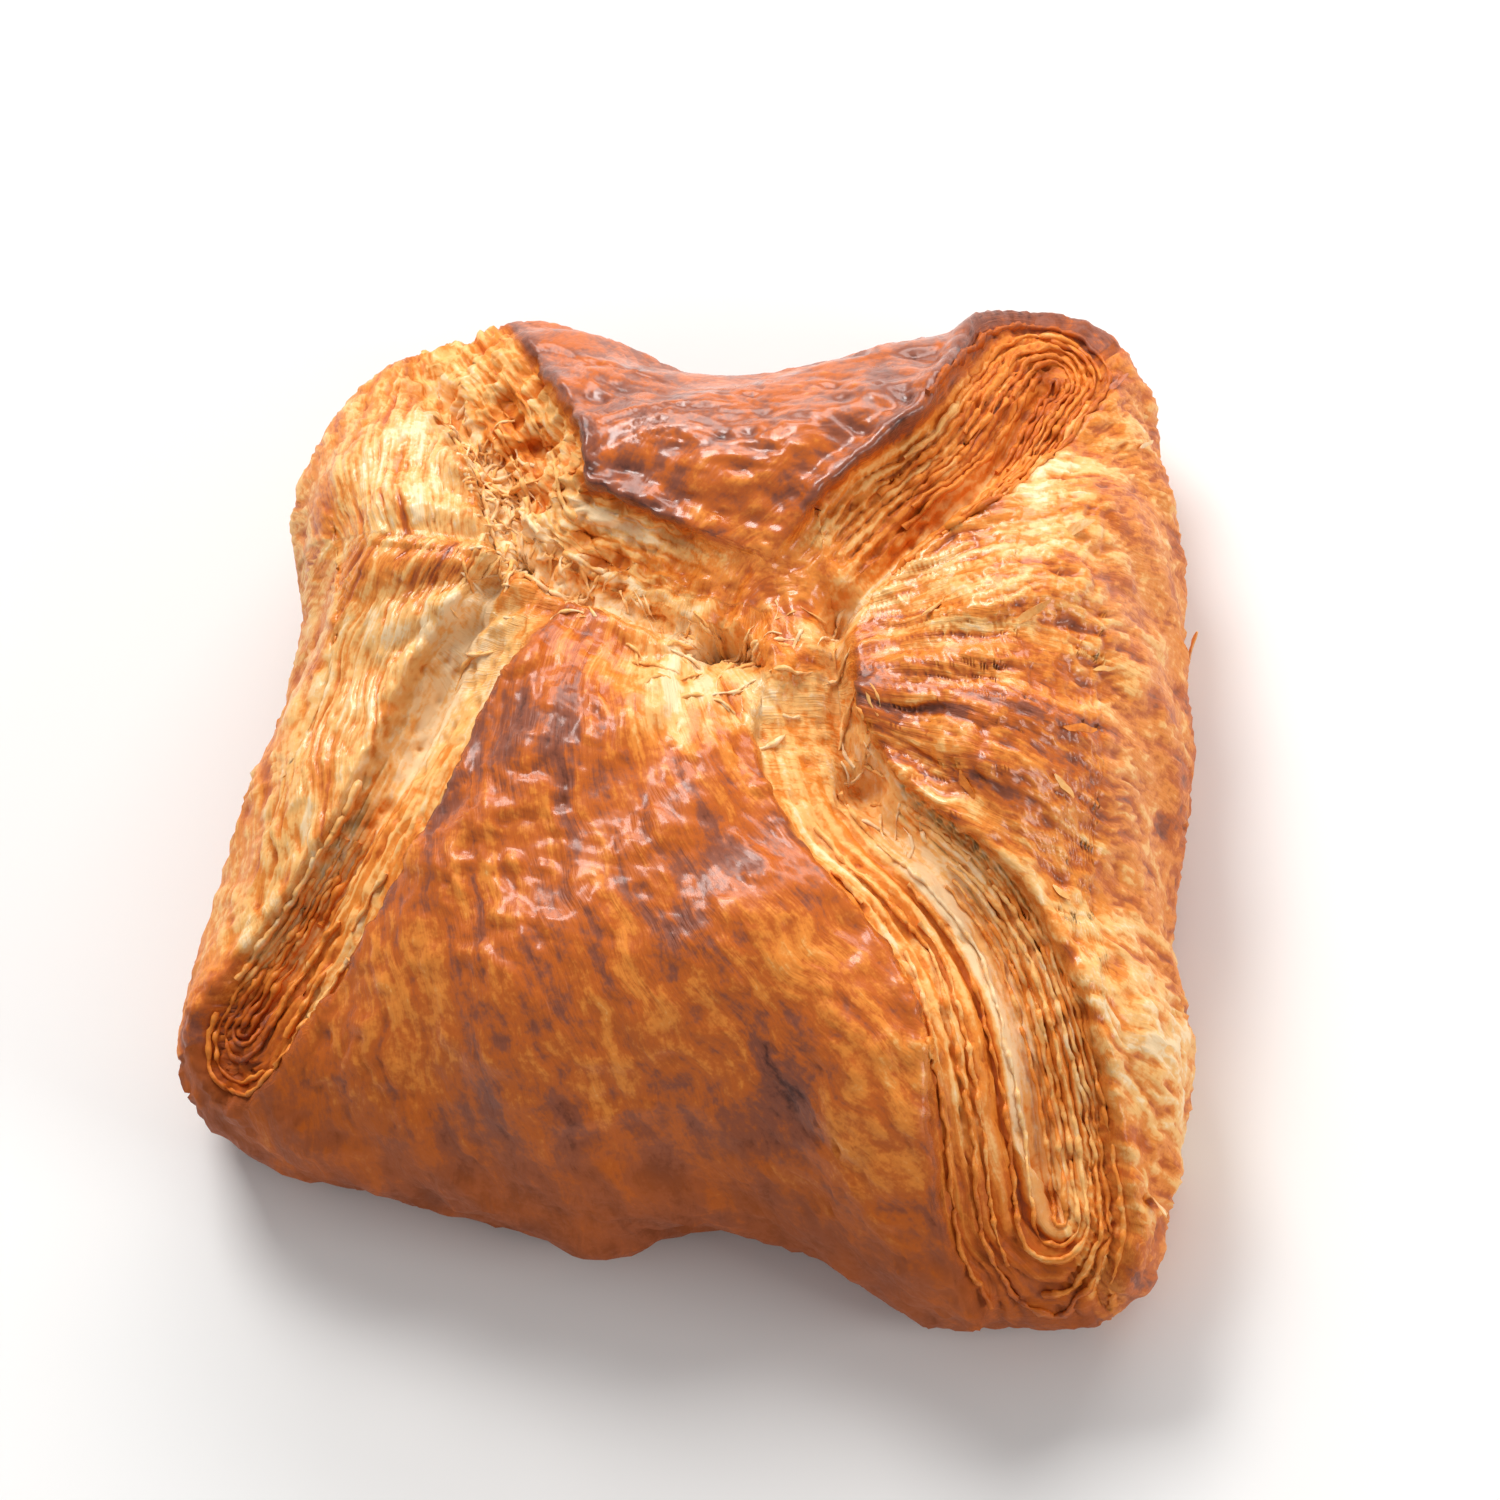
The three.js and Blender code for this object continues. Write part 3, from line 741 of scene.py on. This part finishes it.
# Painted shade on the low front: deep amber, a little uneven.
shaded = 0.75 + 0.35 * noise(skin / (4.0, 4.0, 7.0), 55)
hollow = np.maximum(hollow, shaded * low_front_shade * off_table)
washed = (1.0 - band) * np.array(WASH_BY_FLAP)[flap_of] * (0.12 + 0.88 * smooth(14.0, 30.0, z))
glazed = np.clip(washed + 0.1, 0.0, 1.0) * (1.0 - 0.9 * low_front_shade)


def mesh_piece(name, points_mm, faces):
    mesh = bpy.data.meshes.new(name)
    mesh.from_pydata([tuple(p) for p in np.asarray(points_mm) / 1000.0], [], faces)
    mesh.update()
    mesh.shade_smooth()
    piece = bpy.data.objects.new(name, mesh)
    bpy.context.scene.collection.objects.link(piece)
    return piece


shift = (skin[:, :2].min(axis=0) + skin[:, :2].max(axis=0)) / 2.0
skin[:, :2] -= shift
faces = [tuple(int(i) for i in q) for q in skin_quads]
faces.append(tuple(int(i) for i in underside_loop[::-1]))
crust = mesh_piece("crust", skin, faces)


def paint_points(mesh, **values):
    for label, value in values.items():
        if np.ndim(value) == 2:
            mesh.attributes.new(label, "FLOAT_VECTOR", "POINT").data.foreach_set("vector", np.ravel(value))
        else:
            mesh.attributes.new(label, "FLOAT", "POINT").data.foreach_set("value", np.clip(value, 0.0, 1.0))


paint_points(
    crust.data,
    brown=brown,
    hollow=hollow,
    band=band,
    glazed=glazed,
    pull_lines=pull_lines,
    leaf_lines=leaf_lines,
)


class Nodes:
    """Adds nodes to a material or a modifier tree and joins them up."""

    def __init__(self, tree):
        self.tree = tree

    def add(self, kind, settings=None, **inputs):
        node = self.tree.nodes.new(kind)
        for key, value in (settings or {}).items():
            setattr(node, key, value)
        for key, value in inputs.items():
            self.put(node, key.replace("_", " "), value)
        return node

    def put(self, node, key, value):
        socket = node.inputs[int(key)] if key.isdigit() else node.inputs[key]
        if isinstance(value, bpy.types.NodeSocket):
            self.tree.links.new(value, socket)
        else:
            socket.default_value = value

    def math(self, operation, a, b=0.0, c=0.0):
        node = self.add("ShaderNodeMath", {"operation": operation})
        for key, value in zip("012", (a, b, c)):
            self.put(node, key, value)
        return node.outputs[0]

    def shaken(self, geometry, scale, reach):
        """Moves a geometry's points about by a smooth noise, by at most the reach each way."""
        where = self.add("GeometryNodeInputPosition").outputs[0]
        wave = self.add("ShaderNodeTexNoise", Vector=where, Scale=scale, Detail=2.0).outputs["Color"]
        centred = self.add("ShaderNodeVectorMath", {"operation": "SUBTRACT"})
        self.put(centred, "0", wave)
        self.put(centred, "1", (0.5, 0.5, 0.5))
        scaled = self.add("ShaderNodeVectorMath", {"operation": "SCALE"})
        self.put(scaled, "0", centred.outputs[0])
        self.put(scaled, "Scale", self.math("MULTIPLY", reach, 2.0))
        return self.add("GeometryNodeSetPosition", Geometry=geometry, Offset=scaled.outputs[0]).outputs[0]


def srgb(r, g, b):
    linear = [((c / 255.0 + 0.055) / 1.055) ** 2.4 if c > 10 else c / 3294.6 for c in (r, g, b)]
    return (*linear, 1.0)


# From raw dough through gold and orange to dark brown.
BAKE_COLOURS = [
    (0.00, srgb(244, 212, 166)),
    (0.18, srgb(240, 182, 108)),
    (0.36, srgb(226, 134, 48)),
    (0.56, srgb(192, 94, 22)),
    (0.78, srgb(138, 74, 50)),
    (1.00, srgb(80, 38, 28)),
]
AMBER = srgb(184, 88, 14)
FRECKLE_SCALE = 1500.0
MOTTLE_SCALE = 320.0
GRAIN_RISE = 0.0006


def baked_dough(name, glossy, dry, grain, coat):
    material = bpy.data.materials.new(name)
    material.use_nodes = True
    n = Nodes(material.node_tree)
    shader = material.node_tree.nodes["Principled BSDF"]
    place = n.add("ShaderNodeTexCoord").outputs["Object"]

    def painted(label, output="Fac"):
        return n.add("ShaderNodeAttribute", {"attribute_name": label}).outputs[output]

    def cloud(vector, scale, detail):
        node = n.add("ShaderNodeTexNoise", Vector=vector, Scale=scale, Detail=detail, Roughness=0.65)
        return node.outputs["Fac"]

    freckle = cloud(place, FRECKLE_SCALE, 2.0)
    mottle = cloud(place, MOTTLE_SCALE, 1.0)
    grain_lines = n.add("ShaderNodeMix", {"data_type": "VECTOR"})
    n.put(grain_lines, "0", painted("band"))
    n.put(grain_lines, "4", painted("pull_lines", "Vector"))
    n.put(grain_lines, "5", painted("leaf_lines", "Vector"))
    fibre = cloud(grain_lines.outputs[1], 1.0, 2.0)
    amount = n.math("ADD", painted("brown"), n.math("MULTIPLY_ADD", freckle, 0.36, -0.18))
    amount = n.math("ADD", amount, n.math("MULTIPLY_ADD", mottle, 0.08, -0.04))
    amount = n.math("ADD", amount, n.math("MULTIPLY_ADD", fibre, -0.34, 0.17))
    ramp = n.add("ShaderNodeValToRGB", Fac=amount)
    ramp.color_ramp.interpolation = "EASE"
    stops = ramp.color_ramp.elements
    while len(stops) < len(BAKE_COLOURS):
        stops.new(0.5)
    for stop, (position, colour) in zip(stops, BAKE_COLOURS):
        stop.position = position
        stop.color = colour
    # Deep amber where egg wash gathered in the hollows, plus painted shade in the layer gaps, the pores and
    # on the low front.
    amber = n.add("ShaderNodeMix", {"data_type": "RGBA", "blend_type": "MIX"})
    n.put(amber, "0", n.math("MULTIPLY", painted("hollow"), 0.75))
    n.put(amber, "6", ramp.outputs["Color"])
    n.put(amber, "7", AMBER)
    material.node_tree.links.new(amber.outputs[2], shader.inputs["Base Color"])
    gloss = n.add("ShaderNodeMapRange", Value=painted("glazed"))
    n.put(gloss, "3", dry)
    n.put(gloss, "4", glossy)
    dull = n.math("MULTIPLY_ADD", freckle, 0.3, -0.15)
    material.node_tree.links.new(n.math("ADD", gloss.outputs[0], dull), shader.inputs["Roughness"])
    height = n.math("ADD", n.math("MULTIPLY", mottle, 0.5), n.math("MULTIPLY", fibre, 0.6))
    bump = n.add("ShaderNodeBump", Strength=grain, Distance=GRAIN_RISE, Height=height)
    material.node_tree.links.new(bump.outputs["Normal"], shader.inputs["Normal"])
    glaze = n.math("MULTIPLY", painted("glazed"), coat)
    material.node_tree.links.new(glaze, shader.inputs["Coat Weight"])
    shader.inputs["Coat Roughness"].default_value = 0.19
    shader.inputs["IOR"].default_value = 1.45
    shader.inputs["Specular IOR Level"].default_value = 0.25
    return material


glazed_crust = baked_dough("glazed_crust", glossy=0.32, dry=0.6, grain=0.5, coat=0.75)
crust.data.materials.append(glazed_crust)
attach(crust, "root")
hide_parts("pastry")


# The cut edges of the dough: at each seam the sheet was cut before folding, and its layers parted in the
# oven. Each leaf is a thin wavy strip standing on edge, which runs along the crease, round the fold
# at the corner, and back. Its guide follows the skin, and the strip is swept along it.
LEAF_THICKNESS = 0.00042
LEAF_HEIGHT = 0.0011
LEAF_STEP = 0.0004
LEAF_WAVINESS = 0.0005
LEAF_RAGGEDNESS = 0.9
LEAVES_BY_CORNER = {"front_right": 6, "back_right": 8, "back_left": 2, "front_left": 5}
LOWEST_LEAF = [0.007, 0.014, 0.024, 0.012]
leaf_rng = np.random.default_rng(8)
crust_tree = BVHTree.FromPolygons([Vector(p) for p in skin / 1000.0], faces)
face_corner = [f[0] for f in faces]


def over_crust(x, y):
    """The crust below a plan point in millimetres: the place in metres, its normal and how brown it is."""
    hit, normal, face, _ = crust_tree.ray_cast(Vector((x / 1000.0, y / 1000.0, 0.1)), Vector((0, 0, -1)))
    return hit, normal, (brown[face_corner[face]] if hit else 0.5)


def hairpin(corner, share, start):
    """A plan line at a set share of the band's width: out along the crease, round its end, and back."""
    line = corner["line"]
    place = np.linspace(0.0, 1.0, len(line))
    step = np.gradient(line, axis=0)
    step /= np.linalg.norm(step, axis=1, keepdims=True)
    leftward = np.column_stack([-step[:, 1], step[:, 0]])
    left_width, right_width = [inner + (outer - inner) * place for inner, outer in corner["bands"]]
    keep = place > start
    right = (line - leftward * (right_width * share)[:, None])[keep]
    left = (line + leftward * (left_width * share)[:, None])[keep][::-1]
    turn = np.linspace(-math.pi / 2.0, math.pi / 2.0, 25)[1:-1]
    mean = smooth(-1.0, 1.0, np.sin(turn))
    radius = share * (right_width[-1] + (left_width[-1] - right_width[-1]) * mean)
    outward = np.cos(turn)[:, None] * step[-1] + np.sin(turn)[:, None] * leftward[-1]
    bend = line[-1] + radius[:, None] * outward
    return np.vstack([right, bend, left])


def new_tree(name, **sizes):
    """An empty tree of Geometry Nodes with one input for each size, and what its input gives."""
    tree = bpy.data.node_groups.new(name, "GeometryNodeTree")
    sockets = tree.interface
    sockets.new_socket("Geometry", in_out="INPUT", socket_type="NodeSocketGeometry")
    for label, value in sizes.items():
        sockets.new_socket(label, in_out="INPUT", socket_type="NodeSocketFloat").default_value = value
    sockets.new_socket("Geometry", in_out="OUTPUT", socket_type="NodeSocketGeometry")
    n = Nodes(tree)
    return n, n.add("NodeGroupInput").outputs


def sweep_tree(name, thickness, height, waviness, raggedness):
    """Sweeps a strip, standing on edge and uneven in height, along each guide, which it shakes a little."""
    sizes = dict(Thickness=thickness, Height=height, Waviness=waviness, Raggedness=raggedness)
    n, given = new_tree(name, Step=LEAF_STEP, **sizes)
    guide = n.add("GeometryNodeMeshToCurve", Mesh=given["Geometry"]).outputs[0]
    by_length = {"mode": "LENGTH"}
    even = n.add("GeometryNodeResampleCurve", by_length, Curve=guide, Length=given["Step"]).outputs[0]
    where = n.add("GeometryNodeInputPosition").outputs[0]
    moved = n.shaken(even, 420.0, given["Waviness"])
    ragged = n.add("ShaderNodeTexNoise", Vector=where, Scale=520.0, Detail=3.0, Roughness=0.7)
    spread = n.math("MULTIPLY", n.math("SUBTRACT", ragged.outputs["Fac"], 0.5), given["Raggedness"])
    radius = n.math("MAXIMUM", n.math("MULTIPLY_ADD", spread, 4.0, 0.8), 0.15)
    sized = n.add("GeometryNodeSetCurveRadius", Curve=moved, Radius=radius).outputs[0]
    upright = n.add("GeometryNodeSetCurveNormal", {"mode": "Z_UP"}, Curve=sized).outputs[0]
    shape = n.add("GeometryNodeCurvePrimitiveQuadrilateral", Width=given["Thickness"])
    n.put(shape, "Height", given["Height"])
    swept = n.add("GeometryNodeCurveToMesh", Curve=upright, Profile_Curve=shape.outputs[0], Fill_Caps=True)
    if "Scale" in swept.inputs:
        n.put(swept, "Scale", radius)
    whole = n.add("GeometryNodeRealizeInstances", Geometry=swept.outputs[0]).outputs[0]
    finished = n.add("GeometryNodeSetMaterial", Geometry=whole, Material=glazed_crust).outputs[0]
    n.add("NodeGroupOutput", Geometry=finished)
    return n.tree


def guide_mesh(name, lines, browns, number):
    points = np.vstack(lines)
    edges, first = [], 0
    for line in lines:
        edges += [(first + i, first + i + 1) for i in range(len(line) - 1)]
        first += len(line)
    mesh = bpy.data.meshes.new(name)
    mesh.from_pydata([tuple(p) for p in points], edges, [])
    run = np.concatenate([np.arange(len(line)) for line in lines]) * 0.3
    each = np.concatenate([np.full(len(line), i) for i, line in enumerate(lines)]) * 5.3
    lines_at = np.column_stack([each, run, np.full(len(run), 40.0 + number)])
    level = np.concatenate(browns)
    flat = np.zeros(len(run))
    paint_points(
        mesh,
        brown=level,
        hollow=flat,
        band=flat + 1,
        glazed=flat + 0.2,
        pull_lines=lines_at,
        leaf_lines=lines_at,
    )
    return mesh


def grown_piece(name, guides, tree):
    """Runs the tree on the guides and keeps the result as a plain mesh."""
    carrier = bpy.data.objects.new(name + "_guides", guides)
    bpy.context.scene.collection.objects.link(carrier)
    modifier = carrier.modifiers.new("grow", "NODES")
    modifier.node_group = tree
    evaluated = carrier.evaluated_get(bpy.context.evaluated_depsgraph_get())
    mesh = bpy.data.meshes.new_from_object(evaluated)
    bpy.data.objects.remove(carrier)
    mesh.name = name
    piece = bpy.data.objects.new(name, mesh)
    bpy.context.scene.collection.objects.link(piece)
    return piece


def laid_on_crust(path, base, tone, lowest, lines, browns):
    """Drops a plan path onto the crust, tears it here and there, and adds what is left to the guides."""
    torn_at = [leaf_rng.integers(0, len(path)) for _ in range(leaf_rng.integers(0, 3))]
    line, level = [], []
    for i, (x, y) in enumerate(path):
        hit, normal, here = over_crust(x, y)
        lost = hit is None or hit.z < lowest or any(0 <= i - t < 3 for t in torn_at)
        if not lost:
            line.append(hit + normal * 0.00002)
            level.append(np.clip(base[i] + tone + 0.6 * (here - base[i]), 0.03, 0.8))
        if lost or i == len(path) - 1:
            if len(line) > 5:
                lines.append(line)
                browns.append(level)
            line, level = [], []


for number, corner in enumerate(CORNERS):
    lines, browns = [], []
    count = LEAVES_BY_CORNER[corner["name"]]
    for i in range(count):
        share = (i + 0.5 + leaf_rng.uniform(-0.3, 0.3)) / count
        path = hairpin(corner, share, corner["parting"][0] + leaf_rng.uniform(0.05, 0.35))
        length = np.linalg.norm(np.diff(path, axis=0), axis=1).sum()
        path = along(path, np.linspace(0.0, 1.0, max(8, int(length / 0.8))))
        first, last = leaf_rng.uniform(0.0, 0.2), leaf_rng.uniform(0.75, 1.0)
        path = path[int(first * len(path)) : int(last * len(path))]
        place = near(path, corner["line"])[2]
        base = corner["baked"][0] + (corner["baked"][1] - corner["baked"][0]) * place
        laid_on_crust(path - shift, base, leaf_rng.uniform(-0.08, 0.14), LOWEST_LEAF[number], lines, browns)
    sizes = (LEAF_THICKNESS, LEAF_HEIGHT, LEAF_WAVINESS, LEAF_RAGGEDNESS)
    tree = sweep_tree(corner["name"] + "_sweep", *sizes)
    leaves = grown_piece(corner["name"] + "_leaves", guide_mesh("guides", lines, browns, number), tree)
    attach(leaves, "root")

# The torn crumb: where the tips were pressed together the rising dough tore, and soft pale strands of crumb
# still bridge the seams. Each strand is a short, thin, uneven thread that bows up from the skin.
STRAND_THICKNESS = 0.00024
STRAND_WAVINESS = 0.00025
STRAND_RAGGEDNESS = 1.6
STRAND_LENGTHS = (1.6, 5.0)
STRAND_SCATTER = 1.3
STRAND_TURN = 0.9
STRAND_BOW = 0.00035
STRAND_BEND = 0.22
TORN_SEAMS = [
    [(-30.0, 18.3), (-25.0, 10.5), (-14.0, 7.5), (-3.5, 5.4), (5.0, 9.5)],
    [(-29.0, 0.0), (-25.0, 10.5)],
    [(5.0, 9.5), (9.0, 2.0), (11.0, -4.5), (18.0, -10.0)],
    [(-12.0, 4.0), (-4.0, 0.0), (4.0, 0.0)],
    [(-36.0, 25.0), (-28.0, 17.0)],
]
STRANDS_BY_SEAM = [80, 18, 22, 18, 34]

lines, browns = [], []
for seam, count in zip(TORN_SEAMS, STRANDS_BY_SEAM):
    stops = along(np.array(seam), np.linspace(0.0, 1.0, 60))
    heading = np.gradient(stops, axis=0)
    for _ in range(count):
        i = leaf_rng.integers(0, len(stops))
        middle = stops[i] + leaf_rng.normal(0.0, STRAND_SCATTER, 2) - shift
        turn = math.atan2(heading[i, 1], heading[i, 0]) + leaf_rng.normal(0.0, STRAND_TURN)
        reach = leaf_rng.uniform(*STRAND_LENGTHS) / 2.0
        bow = leaf_rng.uniform(0.0, STRAND_BOW)
        bend = leaf_rng.normal(0.0, STRAND_BEND)
        line = []
        for t in np.linspace(-1.0, 1.0, 9):
            x = middle[0] + reach * (t * math.cos(turn) - bend * t * t * math.sin(turn))
            y = middle[1] + reach * (t * math.sin(turn) + bend * t * t * math.cos(turn))
            hit, normal, here = over_crust(x, y)
            if hit is not None:
                line.append(hit + normal * (bow * (1.0 - t * t) - 0.00008 - 0.0002 * t * t))
        if len(line) > 4:
            lines.append(line)
            browns.append([leaf_rng.uniform(0.02, 0.26)] * len(line))
sizes = (STRAND_THICKNESS, STRAND_THICKNESS * 1.5, STRAND_WAVINESS, STRAND_RAGGEDNESS)
tree = sweep_tree("strand_sweep", *sizes)
strands = grown_piece("crumb_strands", guide_mesh("guides", lines, browns, 9), tree)
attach(strands, "root")

# The flakes: the outermost leaves of the glazed skin dried, cracked and lifted in the heat. Each is a thin
# curled scale, pointed at both ends, held by one end and standing off the skin at the other.
FLAKE_THICKNESS = 0.13
FLAKE_CURL = 0.00045
FLAKE_LENGTHS = (2.0, 5.5)
FLAKE_WIDTHS = (0.16, 0.3)
FLAKE_LIFTS = (3.0, 16.0)
FLAKES_BY_FLAP = [12, 0, 0, 0]
flake_rng = np.random.default_rng(21)


def flake_tree():
    """Puts a thin oval scale on each point, turned and sized by the point's attributes, and curls it."""
    n, given = new_tree("flakes", Curl=FLAKE_CURL)
    block = n.add("GeometryNodeMeshCube", Vertices_X=7, Vertices_Y=4, Vertices_Z=2).outputs[0]
    corner = n.add("ShaderNodeSeparateXYZ", Vector=n.add("GeometryNodeInputPosition").outputs[0]).outputs
    along_squared = n.math("MULTIPLY", corner[0], corner[0])
    taper = n.math("MULTIPLY_ADD", along_squared, -3.2, 1.0)
    narrowed = n.math("MULTIPLY", corner[1], taper)
    oval = n.add("ShaderNodeCombineXYZ", X=corner[0], Y=narrowed, Z=corner[2]).outputs[0]
    scale = n.add("GeometryNodeSetPosition", Geometry=block, Position=oval).outputs[0]
    vector = {"data_type": "FLOAT_VECTOR"}
    turned = n.add("GeometryNodeInputNamedAttribute", vector, Name="turned").outputs[0]
    sized = n.add("GeometryNodeInputNamedAttribute", vector, Name="sized").outputs[0]
    placed = n.add("GeometryNodeInstanceOnPoints", Points=given["Geometry"], Instance=scale)
    n.put(placed, "Rotation", n.add("FunctionNodeEulerToRotation", Euler=turned).outputs[0])
    n.put(placed, "Scale", sized)
    whole = n.add("GeometryNodeRealizeInstances", Geometry=placed.outputs[0]).outputs[0]
    curled = n.shaken(whole, 520.0, given["Curl"])
    finished = n.add("GeometryNodeSetMaterial", Geometry=curled, Material=glazed_crust).outputs[0]
    n.add("NodeGroupOutput", Geometry=finished)
    return n.tree


spots, turned, sized, levels = [], [], [], []
final_normals = vertex_normals(skin, skin_quads)
for number, count in enumerate(FLAKES_BY_FLAP):
    choices = np.flatnonzero((flap_of == number) & (band < 0.1) & (z > 7.0) & (z < 40.0))
    for i in flake_rng.choice(choices, count, replace=False):
        up = Vector(final_normals[i])
        pull = Vector((plan[i, 0] - PULLS[number]["tip"][0], plan[i, 1] - PULLS[number]["tip"][1], -4.0))
        forward = (pull - up * pull.dot(up)).normalized()
        sideways = up.cross(forward)
        lift = math.radians(flake_rng.uniform(*FLAKE_LIFTS))
        swing = flake_rng.normal(0.0, 0.5)
        heading = (forward * math.cos(swing) + sideways * math.sin(swing)).normalized()
        sideways = up.cross(heading)
        tilted = (heading * math.cos(lift) + up * math.sin(lift)).normalized()
        lid = tilted.cross(sideways)
        length = flake_rng.uniform(*FLAKE_LENGTHS)
        frame_rows = Matrix((tilted, sideways, lid)).transposed()
        turned.append(frame_rows.to_euler())
        width = length * flake_rng.uniform(*FLAKE_WIDTHS)
        sized.append([length / 1000.0, width / 1000.0, FLAKE_THICKNESS / 1000.0])
        spots.append(Vector(skin[i]) / 1000.0 + up * (0.00012 + 0.0004 * length * math.sin(lift)))
        levels.append(np.clip(brown[i] + flake_rng.uniform(-0.26, -0.06), 0.05, 0.9))
flake_points = bpy.data.meshes.new("flake_points")
flake_points.from_pydata([tuple(p) for p in spots], [], [])
levels = np.array(levels)
lines_at = np.column_stack([levels * 40.0, levels * 17.0, levels * 0.0 + 70.0])
flat = np.zeros(len(levels))
paint_points(
    flake_points,
    brown=levels,
    hollow=flat + 0.15,
    band=flat,
    glazed=flat + 0.6,
    pull_lines=lines_at,
    leaf_lines=lines_at,
    turned=np.array([tuple(e) for e in turned]),
    sized=np.array(sized),
)
flakes = grown_piece("loose_flakes", flake_points, flake_tree())
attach(flakes, "root")
